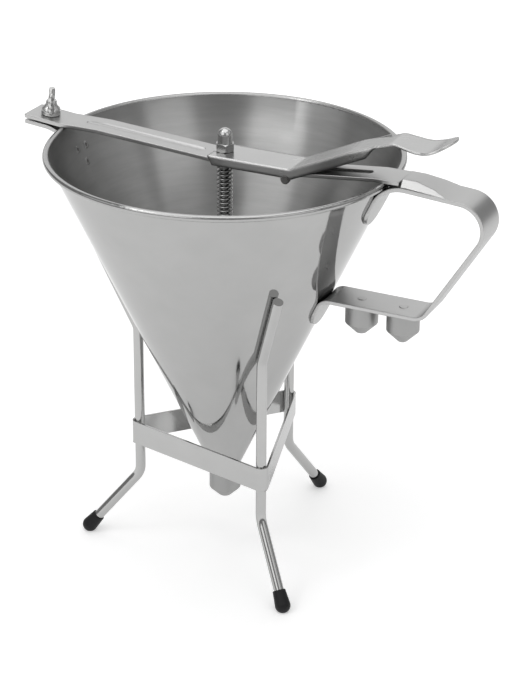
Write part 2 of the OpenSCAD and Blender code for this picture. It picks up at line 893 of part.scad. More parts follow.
// --- stand ---
module leg(angle, leg_r) {
    lean_z = apex_z + (leg_r - leg_offset) / cone_slope;
    lean_l = (leg_top_z - lean_z) / cos(cone_half_angle);
    lean_run = leg_bend_r * tan(cone_half_angle / 2);
    splay_run = leg_bend_r * tan(splay_angle / 2);
    lean = [sin(cone_half_angle), cos(cone_half_angle)];
    splay = [sin(splay_angle), -cos(splay_angle)];
    top = [leg_r, lean_z];
    knee = [leg_r, splay_z];
    bend_x = leg_r + leg_bend_r;
    color(BRIGHT)
        rotate([0, 0, angle]) {
            rod_run(top + lean_run * lean, top + lean_l * lean, leg_rod_r);
            rod_bend(
                [bend_x, lean_z - lean_run], leg_bend_r, leg_rod_r,
                180 - cone_half_angle, 180
            );
            rod_run(knee + [0, splay_run], top - [0, lean_run], leg_rod_r);
            rod_bend(
                [bend_x, splay_z + splay_run], leg_bend_r, leg_rod_r,
                180, 180 + splay_angle
            );
            rod_run(knee + splay_run * splay, knee + (splay_l - 2) * splay, leg_rod_r);
        }
}

// rubber cap on the end of a leg, cut flat where it stands
module foot(angle, leg_r) {
    sleeve_l = foot_l - foot_ball_r;
    color(RUBBER)
        rotate([0, 0, angle])
            difference() {
                translate([leg_r, 0, splay_z])
                    rotate([0, 180 - splay_angle, 0])
                        difference() {
                            union() {
                                translate([0, 0, splay_l - sleeve_l])
                                    cylinder(h = sleeve_l, r1 = foot_ball_r - 0.75, r2 = foot_ball_r);
                                translate([0, 0, splay_l])
                                    sphere(foot_ball_r);
                            }
                            translate([0, 0, splay_l - 2 - foot_l])
                                cylinder(h = foot_l, r = leg_rod_r + fit_gap);
                        }
                translate([leg_r, -foot_d, -foot_d])
                    cube([2 * leg_r, 2 * foot_d, foot_d]);
            }
}

// triangle with rounded corners, r outside the middles of the uprights
module round_triangle(r) {
    p = leg_middles;
    n = [
        for (i = [0:2])
            let (d = p[(i + 1) % 3] - p[i])
                [d.y, -d.x] / norm(d)
    ];
    side_r = r - strap_step;
    polygon([
        for (i = [0:2], q = [p[i] + side_r * n[(i + 2) % 3], p[i] + side_r * n[i]])
            q
    ]);
    for (q = p)
        translate(q)
            circle(r);
}

module stand_band() {
    inside = leg_rod_r + fit_gap;
    color(STEEL)
        translate([0, 0, band_top_z - band_h])
            linear_extrude(band_h)
                difference() {
                    round_triangle(inside + band_t);
                    round_triangle(inside);
                }
}

translate([-middle_x, 0, 0]) {
    funnel_cone();
    spout();
    handle();
    nozzle_studs();
    clamp_bracket();
    clamp_stud();
    wing_nut();
    bridge_bar();
    pivot_knuckle();
    pivot_pin();
    lever();
    piston_rod();
    acorn_nut();
    spring_collar();
    spring();
    valve_plug();
    fitted_nozzle();
    spare_nozzle_inner();
    spare_nozzle_outer();
    leg(left_leg_angle, left_leg_r);  // leg_left
    leg(front_leg_angle, front_leg_r);  // leg_front
    leg(rear_leg_angle, rear_leg_r);  // leg_rear
    stand_band();
    foot(left_leg_angle, left_leg_r);  // foot_left
    foot(front_leg_angle, front_leg_r);  // foot_front
    foot(rear_leg_angle, rear_leg_r);  // foot_rear
}
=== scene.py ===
"""Dresses the batter dispenser: steel and rubber finishes, softened edges, weld marks,
a round-wire spring, a cast wing nut, a threaded stud, and a plain pale stage.
Metres, +Z up."""

import bpy
import json
import math

from bpy.props import FloatProperty, FloatVectorProperty, IntProperty, PointerProperty
from mathutils import Matrix, Vector
from mathutils.bvhtree import BVHTree


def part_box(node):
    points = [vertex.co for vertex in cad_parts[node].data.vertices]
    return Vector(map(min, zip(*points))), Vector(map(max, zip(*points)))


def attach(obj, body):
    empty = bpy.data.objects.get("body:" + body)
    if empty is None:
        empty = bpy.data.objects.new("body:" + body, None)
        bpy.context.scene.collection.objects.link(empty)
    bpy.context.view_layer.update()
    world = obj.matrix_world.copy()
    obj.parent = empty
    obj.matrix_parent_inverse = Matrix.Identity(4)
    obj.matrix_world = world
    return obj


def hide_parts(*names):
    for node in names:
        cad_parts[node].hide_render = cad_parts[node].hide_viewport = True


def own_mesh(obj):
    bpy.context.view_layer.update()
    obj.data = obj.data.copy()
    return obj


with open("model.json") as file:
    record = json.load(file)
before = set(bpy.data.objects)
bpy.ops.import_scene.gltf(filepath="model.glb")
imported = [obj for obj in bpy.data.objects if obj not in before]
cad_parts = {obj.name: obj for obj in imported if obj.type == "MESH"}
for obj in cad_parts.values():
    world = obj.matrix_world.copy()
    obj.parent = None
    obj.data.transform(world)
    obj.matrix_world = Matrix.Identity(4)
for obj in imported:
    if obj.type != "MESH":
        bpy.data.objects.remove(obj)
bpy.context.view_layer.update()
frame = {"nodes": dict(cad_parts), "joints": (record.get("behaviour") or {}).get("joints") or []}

bl_info = {
    "name": "Batter Dispenser Dressing",
    "version": (1, 0, 0),
    "blender": (4, 5, 0),
    "location": "3D View > Sidebar > Batter Dispenser",
    "description": "Finishes and fine detail for a piston funnel on its stand",
    "category": "Object",
}

WELD_GAP = 2e-6  # points of a CAD mesh closer than this are one point


def node_middle(name):
    """Middle of a CAD node's box."""
    low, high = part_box(name)
    return (low + high) / 2


AXIS_X = node_middle("funnel_cone").x


def level(angle):
    """Level direction at an angle round the funnel's axis."""
    return Vector((math.cos(angle), math.sin(angle), 0))


def towards(azimuth, elevation):
    """Direction from the object to a lamp or the camera."""
    flat = math.cos(elevation)
    return Vector(
        (math.sin(azimuth) * flat, -math.cos(azimuth) * flat, math.sin(elevation))
    )


# --- sizes and colours that a user would change ---
class SteelLook(bpy.types.PropertyGroup):
    """Colours and polish of the metal and the rubber"""

    sheet_colour: FloatVectorProperty(
        name="Sheet colour",
        description="Colour of the polished cone",
        subtype="COLOR",
        size=3,
        min=0,
        max=1,
        default=(0.41, 0.41, 0.407),
    )
    strap_colour: FloatVectorProperty(
        name="Strap colour",
        description="Colour of the straps and the lever",
        subtype="COLOR",
        size=3,
        min=0,
        max=1,
        default=(0.5, 0.5, 0.497),
    )
    rod_colour: FloatVectorProperty(
        name="Rod colour",
        description="Colour of the stand's legs and band",
        subtype="COLOR",
        size=3,
        min=0,
        max=1,
        default=(0.445, 0.445, 0.442),
    )
    turned_colour: FloatVectorProperty(
        name="Turned colour",
        description="Colour of the nozzles and other turned pieces",
        subtype="COLOR",
        size=3,
        min=0,
        max=1,
        default=(0.36, 0.36, 0.357),
    )
    bright_colour: FloatVectorProperty(
        name="Bright colour",
        description="Colour of the nuts, the stud and the rod",
        subtype="COLOR",
        size=3,
        min=0,
        max=1,
        default=(0.60, 0.60, 0.595),
    )
    weld_colour: FloatVectorProperty(
        name="Weld colour",
        description="Colour of the pits of the spot welds",
        subtype="COLOR",
        size=3,
        min=0,
        max=1,
        default=(0.24, 0.235, 0.23),
    )
    rubber_colour: FloatVectorProperty(
        name="Rubber colour",
        description="Colour of the feet",
        subtype="COLOR",
        size=3,
        min=0,
        max=1,
        default=(0.008, 0.008, 0.009),
    )
    outside_roughness: FloatProperty(
        name="Outside roughness",
        description="Roughness of the polished outside of the cone",
        subtype="FACTOR",
        min=0,
        max=1,
        default=0.07,
    )
    inside_roughness: FloatProperty(
        name="Inside roughness",
        description="Roughness of the brushed inside of the cone",
        subtype="FACTOR",
        min=0,
        max=1,
        default=0.3,
    )
    bead_roughness: FloatProperty(
        name="Bead roughness",
        description="Roughness of the rolled rim",
        subtype="FACTOR",
        min=0,
        max=1,
        default=0.24,
    )
    bead_height: FloatProperty(
        name="Bead height",
        description="Height of the rolled rim",
        subtype="DISTANCE",
        unit="LENGTH",
        min=0,
        default=0.0034,
    )
    strap_roughness: FloatProperty(
        name="Strap roughness",
        description="Roughness of the straps",
        subtype="FACTOR",
        min=0,
        max=1,
        default=0.36,
    )


class StageLook(bpy.types.PropertyGroup):
    """Floor, lamps and camera"""

    floor_colour: FloatVectorProperty(
        name="Floor colour",
        description="Colour of the floor",
        subtype="COLOR",
        size=3,
        min=0,
        max=1,
        default=(0.86, 0.86, 0.86),
    )
    room_level: FloatProperty(
        name="Room level",
        description="Strength of the light that comes from all round",
        min=0,
        max=2,
        default=0.3,
    )
    lamp_level: FloatProperty(
        name="Lamp level",
        description="Scale of all the soft lamps",
        min=0,
        max=3,
        default=1.0,
    )
    azimuth: FloatProperty(
        name="Azimuth",
        description="Direction of the camera round the object",
        subtype="ANGLE",
        unit="ROTATION",
        default=math.radians(25.58),
    )
    elevation: FloatProperty(
        name="Elevation",
        description="Height angle of the camera",
        subtype="ANGLE",
        unit="ROTATION",
        default=math.radians(25.324),
    )
    roll: FloatProperty(
        name="Roll",
        description="Tilt of the camera about its line of sight",
        subtype="ANGLE",
        unit="ROTATION",
        default=math.radians(0.445),
    )
    distance: FloatProperty(
        name="Distance",
        description="Distance of the camera from its aim point",
        subtype="DISTANCE",
        unit="LENGTH",
        default=1.1378,
    )
    lens: FloatProperty(
        name="Lens",
        description="Focal length for a 36 mm long side",
        unit="CAMERA",
        default=112.29,
    )


class FineDetail(bpy.types.PropertyGroup):
    """Sizes of the fine detail"""

    edge: FloatProperty(
        name="Edge",
        description="Rounding of the cut edges of straps and sheet",
        subtype="DISTANCE",
        unit="LENGTH",
        min=0,
        default=0.0003,
    )
    bend: FloatProperty(
        name="Bend",
        description="Radius of the lever's folded edges",
        subtype="DISTANCE",
        unit="LENGTH",
        min=0,
        default=0.0024,
    )
    wire: FloatProperty(
        name="Spring wire",
        description="Diameter of the spring's wire",
        subtype="DISTANCE",
        unit="LENGTH",
        min=0.0004,
        default=0.0011,
    )
    turns: IntProperty(
        name="Spring turns",
        description="Number of turns of the spring",
        min=8,
        default=28,
    )
    weld: FloatProperty(
        name="Spot weld",
        description="Diameter of a spot weld's mark",
        subtype="DISTANCE",
        unit="LENGTH",
        min=0.001,
        default=0.0044,
    )
    bead: FloatProperty(
        name="Weld bead",
        description="Thickness of the welds between legs and band",
        subtype="DISTANCE",
        unit="LENGTH",
        min=0.0005,
        default=0.0016,
    )
    wing_turn: FloatProperty(
        name="Wing turn",
        description="Direction of the wing nut's ears at rest",
        subtype="ANGLE",
        unit="ROTATION",
        default=math.radians(-63),
    )
    thread_pitch: FloatProperty(
        name="Thread pitch",
        description="Pitch of the thread on the clamp's stud",
        subtype="DISTANCE",
        unit="LENGTH",
        min=0.0003,
        default=0.0006,
    )


# --- shader helpers ---
def add_node(tree, kind, inputs=None, **settings):
    """Adds a shader node; inputs are values or the sockets that feed them."""
    made = tree.nodes.new(kind)
    for key, value in settings.items():
        setattr(made, key, value)
    for key, value in (inputs or {}).items():
        if isinstance(value, bpy.types.NodeSocket):
            tree.links.new(value, made.inputs[key])
        else:
            made.inputs[key].default_value = value
    return made


def sums(tree, operation, *values):
    """Result of a Math node."""
    return add_node(
        tree, "ShaderNodeMath", dict(enumerate(values)), operation=operation
    ).outputs[0]


def blank_material(name):
    """New material, with its node tree and its Principled shader."""
    material = bpy.data.materials.new(name)
    material.use_nodes = True
    return material, material.node_tree, material.node_tree.nodes["Principled BSDF"]


def grain_vector(tree, run):
    """Coordinates for grain that runs along X, along Z or round the funnel's axis."""
    long, fine, even = 40, 2200, 900
    per_radian, per_metre = 2.4, 300.0
    place = add_node(tree, "ShaderNodeTexCoord").outputs["Object"]
    if run == "round":
        parts = add_node(tree, "ShaderNodeSeparateXYZ", {0: place})
        x = sums(tree, "SUBTRACT", parts.outputs["X"], AXIS_X)
        angle = sums(tree, "ARCTAN2", parts.outputs["Y"], x)
        return add_node(
            tree,
            "ShaderNodeCombineXYZ",
            {
                "X": sums(tree, "MULTIPLY", angle, per_radian),
                "Y": 0.0,
                "Z": sums(tree, "MULTIPLY", parts.outputs["Z"], per_metre),
            },
        ).outputs[0]
    scale = {
        "x": (long, fine, fine),
        "z": (fine, fine, long),
        "even": (even, even, even),
    }[run]
    return add_node(
        tree, "ShaderNodeMapping", {"Vector": place, "Scale": scale}
    ).outputs[0]


def steel(
    name, shade, roughness, run, grain=0.05, bump=0.02, anisotropy=0.0, smudge=0.05
):
    """Steel with fine grain in one direction and faint handling marks."""
    material, tree, shader = blank_material(name)
    vector = grain_vector(tree, run)
    lines = add_node(
        tree,
        "ShaderNodeTexNoise",
        {"Vector": vector, "Scale": 1.0, "Detail": 5.0, "Roughness": 0.65},
    ).outputs["Fac"]
    place = add_node(tree, "ShaderNodeTexCoord").outputs["Object"]
    cloud = add_node(
        tree,
        "ShaderNodeTexNoise",
        {"Vector": place, "Scale": 55.0, "Detail": 3.0, "Roughness": 0.55},
    ).outputs["Fac"]
    tint = add_node(tree, "ShaderNodeMix", {"Factor": cloud}, data_type="RGBA")
    for key, share in (("A_Color", 0.94), ("B_Color", 1.06)):
        socket = [s for s in tint.inputs if s.identifier == key][0]
        socket.default_value = [*(min(1, c * share) for c in shade), 1]
    tint_out = [s for s in tint.outputs if s.type == "RGBA"][0]
    tree.links.new(tint_out, shader.inputs["Base Color"])
    rough = sums(
        tree,
        "ADD",
        sums(tree, "MULTIPLY_ADD", lines, grain, roughness - grain / 2),
        sums(tree, "MULTIPLY_ADD", cloud, smudge, -smudge / 2),
    )
    tree.links.new(rough, shader.inputs["Roughness"])
    shader.inputs["Metallic"].default_value = 1.0
    shader.inputs["Specular Tint"].default_value = (0.85, 0.85, 0.85, 1)
    if anisotropy:
        shader.inputs["Anisotropic"].default_value = anisotropy
    relief = add_node(
        tree,
        "ShaderNodeBump",
        {"Height": lines, "Strength": bump, "Distance": 0.0002},
    )
    tree.links.new(relief.outputs[0], shader.inputs["Normal"])
    return material


def dress(name, material):
    """Gives a CAD node its finish."""
    node = frame["nodes"][name]
    node.data.materials.clear()
    node.data.materials.append(material)
    for face in node.data.polygons:
        face.material_index = 0


def soften(name, width, segments=2):
    """Rounds a CAD node's cut edges with modifiers; its mesh stays as it is."""
    node = frame["nodes"][name]
    weld = node.modifiers.new("Weld", "WELD")
    weld.merge_threshold = WELD_GAP
    flat = node.modifiers.new("Flats", "DECIMATE")
    flat.decimate_type = "DISSOLVE"
    flat.angle_limit = math.radians(0.4)
    edge = node.modifiers.new("Edges", "BEVEL")
    edge.width = width
    edge.segments = segments
    edge.limit_method = "ANGLE"
    edge.angle_limit = math.radians(35)
    edge.use_clamp_overlap = True
    edge.harden_normals = False
    node.modifiers.new("Normals", "WEIGHTED_NORMAL")
    for face in node.data.polygons:
        face.use_smooth = True


def smooth_turned(name):
    """Joins a turned piece's facets and shades them as one surface."""
    node = frame["nodes"][name]
    weld = node.modifiers.new("Weld", "WELD")
    weld.merge_threshold = WELD_GAP
    split = node.modifiers.new("Creases", "EDGE_SPLIT")
    split.split_angle = math.radians(32)
    for face in node.data.polygons:
        face.use_smooth = True


def make_piece(name, points, faces, materials, body, slot):
    """Piece from points and faces, smooth, riding on a body."""
    mesh = bpy.data.meshes.new(name)
    mesh.from_pydata(points, [], faces)
    for material in materials:
        mesh.materials.append(material)
    for face in mesh.polygons:
        face.use_smooth = True
    piece = bpy.data.objects.new(name, mesh)
    bpy.context.scene.collection.objects.link(piece)
    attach(piece, body)
    return piece


def ring_faces(rings, sides, start=0, closed=False):
    """Quads between rings of points; each ring has the same number of sides."""
    faces = []
    for i in range(rings if closed else rings - 1):
        a, b = start + i * sides, start + (i + 1) % rings * sides
        for j in range(sides):
            k = (j + 1) % sides
            faces.append((a + j, a + k, b + k, b + j))
    return faces


def end_faces(start, last, sides):
    """Faces that close the first and the last ring of a run of rings."""
    first = tuple(start + j for j in reversed(range(sides)))
    return [first, tuple(start + last * sides + j for j in range(sides))]


def wall_at(name, height, angle, inward=False):
    """Where a level line from the funnel's axis meets a node, and the normal there.

    An inward line comes from outside and runs towards the axis.
    """
    node = frame["nodes"][name]
    points = [node.matrix_world @ v.co for v in node.data.vertices]
    tree = BVHTree.FromPolygons(points, [f.vertices for f in node.data.polygons])
    out = level(angle)
    line = -out if inward else out
    away = 0.3 if inward else 0
    start = Vector((AXIS_X, 0, height)) + out * away
    place, normal = tree.ray_cast(start, line)[:2]
    return place, normal if normal.dot(line) < 0 else -normal


class DISPENSER_OT_stage(bpy.types.Operator):
    """Makes the floor, the room light, the lamps and the camera"""

    bl_idname = "dispenser.stage"
    bl_label = "Stage"

    def execute(self, context):
        look = context.scene.dispenser_stage
        make_floor(look)
        make_room(context, look)
        make_lamps(look)
        make_camera(context, look)
        return {"FINISHED"}


def make_floor(look):
    """Pale floor that glows for the camera and in the steel.

    Its far part glows more, for the camera only.
    """
    near_glow, far_glow = 0.345, 0.6
    material, tree, shader = blank_material("pale_floor")
    shader.inputs["Base Color"].default_value = (*look.floor_colour, 1)
    shader.inputs["Roughness"].default_value = 0.9
    shader.inputs["Specular IOR Level"].default_value = 0.1
    path = add_node(tree, "ShaderNodeLightPath")
    seen = sums(
        tree,
        "MAXIMUM",
        path.outputs["Is Camera Ray"],
        sums(
            tree,
            "MAXIMUM",
            path.outputs["Is Glossy Ray"],
            path.outputs["Is Transmission Ray"],
        ),
    )
    shader.inputs["Emission Color"].default_value = (1, 1, 1, 1)
    place = add_node(tree, "ShaderNodeTexCoord").outputs["Object"]
    away = add_node(
        tree, "ShaderNodeVectorMath", {0: place}, operation="LENGTH"
    ).outputs["Value"]
    far = add_node(
        tree,
        "ShaderNodeMapRange",
        {
            "Value": away,
            "From Min": 0.5,
            "From Max": 2.0,
            "To Min": 0.0,
            "To Max": far_glow,
        },
    ).outputs[0]
    extra = sums(tree, "MULTIPLY", far, path.outputs["Is Camera Ray"])
    tree.links.new(
        sums(tree, "MULTIPLY_ADD", seen, near_glow, extra),
        shader.inputs["Emission Strength"],
    )
    reach = 14.0
    corners = [
        (x * reach, y * reach, 0) for x, y in ((-1, -1), (1, -1), (1, 1), (-1, 1))
    ]
    mesh = bpy.data.meshes.new("floor")
    mesh.from_pydata(corners, [], [(0, 1, 2, 3)])
    mesh.materials.append(material)
    floor = bpy.data.objects.new("floor", mesh)
    bpy.context.scene.collection.objects.link(floor)


def make_room(context, look):
    """Even light from all round; the camera sees it as white."""
    world = bpy.data.worlds.new("room")
    context.scene.world = world
    world.use_nodes = True
    tree = world.node_tree
    tree.nodes.clear()
    path = add_node(tree, "ShaderNodeLightPath")
    strength = sums(
        tree,
        "MULTIPLY_ADD",
        path.outputs["Is Camera Ray"],
        1 - look.room_level,
        look.room_level,
    )
    room = add_node(
        tree, "ShaderNodeBackground", {"Color": (1, 1, 1, 1), "Strength": strength}
    )
    out = add_node(tree, "ShaderNodeOutputWorld")
    tree.links.new(room.outputs[0], out.inputs[0])


def make_lamps(look):
    """Soft lamps round the cone, aimed at its middle."""
    middle = node_middle("funnel_cone")
    # azimuth, elevation, distance, width, height, radiance
    lamps = {
        "overhead": (0, 88, 1.9, 2.3, 2.3, 1.35),
        "left_softbox": (-15, 33, 1.9, 1.4, 1.1, 1.24),
        "edge_light": (-43, 54, 1.9, 0.5, 0.38, 3.2),
        "side_softbox": (-58, 34, 1.9, 0.9, 1.0, 0.45),
        "handle_softbox": (118, 33, 1.9, 1.2, 1.0, 0.33),
        "right_softbox": (68, 30, 1.9, 1.1, 1.2, 0.8),
        "back_softbox": (206, 28, 2.2, 3.2, 1.8, 0.78),
    }
    for name, values in lamps.items():
        azimuth, elevation, distance, width, height, radiance = values
        back = towards(math.radians(azimuth), math.radians(elevation))
        light = bpy.data.lights.new(name, "AREA")
        light.shape = "RECTANGLE"
        light.size, light.size_y = width, height
        light.energy = radiance * look.lamp_level * width * height * math.pi
        lamp = bpy.data.objects.new(name, light)
        lamp.location = middle + back * distance
        lamp.rotation_mode = "QUATERNION"
        lamp.rotation_quaternion = back.to_track_quat("Z", "Y")
        lamp.visible_camera = False
        bpy.context.scene.collection.objects.link(lamp)


def make_camera(context, look):
    """Camera that looks past the funnel at an aim point beside and below its rim."""
    aim_side, aim_drop = 0.020373, 0.104454
    back = towards(look.azimuth, look.elevation)
    side = (-back).cross(Vector((0, 0, 1))).normalized()
    up = side.cross(-back)
    rim = Vector((AXIS_X, 0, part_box("funnel_cone")[1].z))
    aim = rim + side * aim_side - up * aim_drop
    right = side * math.cos(look.roll) + up * math.sin(look.roll)
    over = up * math.cos(look.roll) - side * math.sin(look.roll)
    data = bpy.data.cameras.new("camera")
    data.sensor_width = 36
    data.lens = look.lens
    camera = bpy.data.objects.new("camera", data)
    context.scene.collection.objects.link(camera)
    turn = Matrix((right, over, back)).transposed()
    camera.matrix_world = (
        Matrix.Translation(aim + back * look.distance) @ turn.to_4x4()
    )
    context.scene.camera = camera


class DISPENSER_OT_funnel(bpy.types.Operator):
    """Finishes the cone and the spout"""

    bl_idname = "dispenser.funnel"
    bl_label = "Funnel"

    def execute(self, context):
        look = context.scene.dispenser_steel
        dress("funnel_cone", sheet_finish(look))
        smooth_turned("funnel_cone")
        roll_rim(look)
        dress(
            "spout",
            steel("spout_steel", look.turned_colour, 0.22, "round", anisotropy=0.3),
        )
        return {"FINISHED"}


def round_ring(reach, size, height, rings, sides):
    """Points and faces of a ring of round section about the funnel's axis."""
    points = []
    for i in range(rings):
        out = level(2 * math.pi * i / rings)
        for j in range(sides):
            b = 2 * math.pi * j / sides
            spot = out * (reach + size * math.cos(b))
            points.append((AXIS_X + spot.x, spot.y, height + size * math.sin(b)))
    return points, ring_faces(rings, sides, closed=True)


def roll_rim(look):
    """Fine round bead over the faceted one."""
    low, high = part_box("funnel_cone")
    size = look.bead_height / 2
    reach = (high.x - low.x) / 2 - size
    bead = steel(
        "bead_steel", look.sheet_colour, look.bead_roughness, "round", grain=0.03
    )
    ring = round_ring(reach, size, high.z - size, rings=540, sides=24)
    make_piece("rim_bead", *ring, [bead], "funnel", "polished_sheet")


def sheet_finish(look):
    """Mirror outside, and inside brushed round the axis, with faint rings.

    A face is inside where its normal points to the axis.
    """
    brushed, grooves, ring_tint = 0.8, 0.3, 3.0
    material = steel(
        "polished_sheet",
        look.sheet_colour,
        look.outside_roughness,
        "round",
        grain=0.03,
        bump=0.0,
        smudge=0.03,
    )
    tree = material.node_tree
    shader = tree.nodes["Principled BSDF"]
    coords = add_node(tree, "ShaderNodeTexCoord")
    place = add_node(tree, "ShaderNodeSeparateXYZ", {0: coords.outputs["Object"]})
    facing = add_node(tree, "ShaderNodeSeparateXYZ", {0: coords.outputs["Normal"]})
    x = sums(tree, "SUBTRACT", place.outputs["X"], AXIS_X)
    outward = sums(
        tree,
        "ADD",
        sums(tree, "MULTIPLY", x, facing.outputs["X"]),
        sums(tree, "MULTIPLY", place.outputs["Y"], facing.outputs["Y"]),
    )
    inside = sums(tree, "LESS_THAN", outward, 0.0)
    polished = shader.inputs["Roughness"].links[0].from_socket
    rougher = look.inside_roughness - look.outside_roughness
    tree.links.new(
        sums(tree, "MULTIPLY_ADD", inside, rougher, polished),
        shader.inputs["Roughness"],
    )
    relief = tree.nodes["Bump"]
    tree.links.new(sums(tree, "MULTIPLY", inside, grooves), relief.inputs["Strength"])
    round_axis = add_node(
        tree, "ShaderNodeTangent", direction_type="RADIAL", axis="Z"
    )
    tree.links.new(round_axis.outputs[0], shader.inputs["Tangent"])
    shader.inputs["Anisotropic Rotation"].default_value = 0.25
    tree.links.new(
        sums(tree, "MULTIPLY", inside, brushed), shader.inputs["Anisotropic"]
    )
    lines = relief.inputs["Height"].links[0].from_socket
    tint = shader.inputs["Base Color"].links[0].from_node
    cloud = tint.inputs["Factor"].links[0].from_socket
    shift = sums(tree, "MULTIPLY_ADD", lines, ring_tint, -ring_tint / 2)
    rings = sums(tree, "MULTIPLY", inside, shift)
    tree.links.new(sums(tree, "ADD", cloud, rings), tint.inputs["Factor"])
    return material


class DISPENSER_OT_straps(bpy.types.Operator):
    """Finishes the handle, the clamp, the bridge bar, the lever and its hinge"""

    bl_idname = "dispenser.straps"
    bl_label = "Straps"

    def execute(self, context):
        look = context.scene.dispenser_steel
        detail = context.scene.dispenser_detail
        edge = detail.edge
        rough = look.strap_roughness
        strap = bent_steel("strap_steel", look, rough, detail.bend * 0.33)
        for name in ("handle", "clamp_bracket", "bridge_bar"):
            dress(name, strap)
            soften(name, edge * 1.5, segments=3)
        smoother = rough - 0.1
        dress("lever", bent_steel("lever_steel", look, smoother, detail.bend))
        soften("lever", edge * 2.5, segments=3)
        dress("pivot_knuckle", strap)
        dress("pivot_pin", steel("pin_steel", look.weld_colour, 0.32, "even"))
        return {"FINISHED"}


def bent_steel(name, look, roughness, radius):
    """Strap steel whose sheared and folded edges catch the light as rounded ones."""
    material = steel(name, look.strap_colour, roughness, "x", grain=0.05)
    tree = material.node_tree
    bend = add_node(tree, "ShaderNodeBevel", {"Radius": radius}, samples=8)
    tree.links.new(bend.outputs[0], tree.nodes["Bump"].inputs["Normal"])
    return material


class DISPENSER_OT_clamp(bpy.types.Operator):
    """Finishes the wing nut and its stud"""

    bl_idname = "dispenser.clamp"
    bl_label = "Clamp"

    def execute(self, context):
        look = context.scene.dispenser_steel
        detail = context.scene.dispenser_detail
        bright = steel("clamp_steel", look.bright_colour, 0.18, "even")
        dress("clamp_stud", bright)
        joint = [j for j in frame["joints"] if j["name"] == "wing_turn"][0]
        axis = Vector(joint["axis"])
        turn = Matrix.Rotation(detail.wing_turn, 3, axis)
        across = turn @ Vector((0, 1, 0)).cross(axis)
        place = Matrix((across, axis.cross(across), axis)).transposed().to_4x4()
        place.translation = Vector(joint["pos_m"])
        cast = steel(
            "cast_steel", look.bright_colour, 0.17, "even", grain=0.2, bump=0.8
        )
        cast_wing_nut(place, cast)
        cut_thread(place, detail.thread_pitch, bright)
        return {"FINISHED"}


def cast_wing_nut(place, material):
    """Cast nut with a bellied hub and two ears, on the clamp's stud."""
    per_metre = 1000
    # radius and height of the hub's outline, in millimetres
    hub = (
        (1.7, 0.1), (4.9, 0.1), (5.2, 0.4), (5.2, 2.3), (5.0, 3.3), (4.4, 4.2),
        (3.6, 4.9), (3.1, 5.9), (2.9, 7.4), (2.5, 8.1), (1.7, 8.2),
    )
    # reach, height, width, thickness and tallness of an ear's lumps, in millimetres
    ear = (
        (3.6, 3.6, 2.8, 1.9, 3.2),
        (4.2, 6.8, 2.7, 1.8, 3.6),
        (4.5, 10.2, 2.6, 1.7, 3.4),
    )
    bore, sides, dents, dent_depth = hub[0][0], 48, 7, 0.018
    points, faces = [], ring_faces(len(hub), sides)
    for radius, z in hub:
        for j in range(sides):
            b = 2 * math.pi * j / sides
            dent = 1 + dent_depth * math.sin(dents * b + 2 * z) if radius > bore else 1
            r = radius * dent
            points.append(Vector((r * math.cos(b), r * math.sin(b), z)) / per_metre)
    for side in (1, -1):
        for reach, z, wide, thick, tall in ear:
            axes = (
                Vector((wide, 0, 0)) / per_metre,
                Vector((0, thick, 0)) / per_metre,
                Vector((0.6 * side, 0, tall)) / per_metre,
            )
            centre = Vector((reach * side, 0, z)) / per_metre
            lump(centre, axes, side + z, points, faces, uneven=0.04)
    points = [place @ p for p in points]
    piece = make_piece(
        "cast_wing_nut", points, faces, [material], "wing", "bright_hardware"
    )
    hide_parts("wing_nut")


def cut_thread(place, pitch, material):
    """Ridge of the thread on the free end of the stud."""
    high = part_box("clamp_stud")[1]
    top = (high.z - place.translation.z) / place[2][2] - pitch
    start, radius, per_turn = 0.0083, 0.0017, 24
    steps = int((top - start) / pitch * per_turn)
    # outline of the ridge, out from the stud and along it, in pitches
    section = ((-0.1, -0.42), (0.14, -0.08), (0.14, 0.08), (-0.1, 0.42))
    points = []
    for i in range(steps + 1):
        a = 2 * math.pi * i / per_turn
        for out, along in section:
            r = radius + out * pitch
            z = start + (i / per_turn + along) * pitch
            points.append(place @ Vector((r * math.cos(a), r * math.sin(a), z)))
    faces = ring_faces(steps + 1, len(section)) + end_faces(0, steps, len(section))
    make_piece("stud_thread", points, faces, [material], "funnel", "bright_hardware")


class DISPENSER_OT_piston(bpy.types.Operator):
    """Finishes the rod, its nut, collar and plug, and winds the spring"""

    bl_idname = "dispenser.piston"
    bl_label = "Piston"

    def execute(self, context):
        look = context.scene.dispenser_steel
        detail = context.scene.dispenser_detail
        bright = steel("rod_and_nut_steel", look.bright_colour, 0.12, "even")
        dress("piston_rod", bright)
        worn = steel("nut_steel", look.strap_colour, 0.2, "even", grain=0.1, bump=0.2)
        dress("acorn_nut", worn)
        soften("acorn_nut", detail.edge)
        turned = steel("valve_steel", look.turned_colour, 0.2, "round", anisotropy=0.3)
        for name in ("spring_collar", "valve_plug"):
            dress(name, turned)
        wind_spring(detail, steel("spring_wire", look.turned_colour, 0.22, "even"))
        return {"FINISHED"}


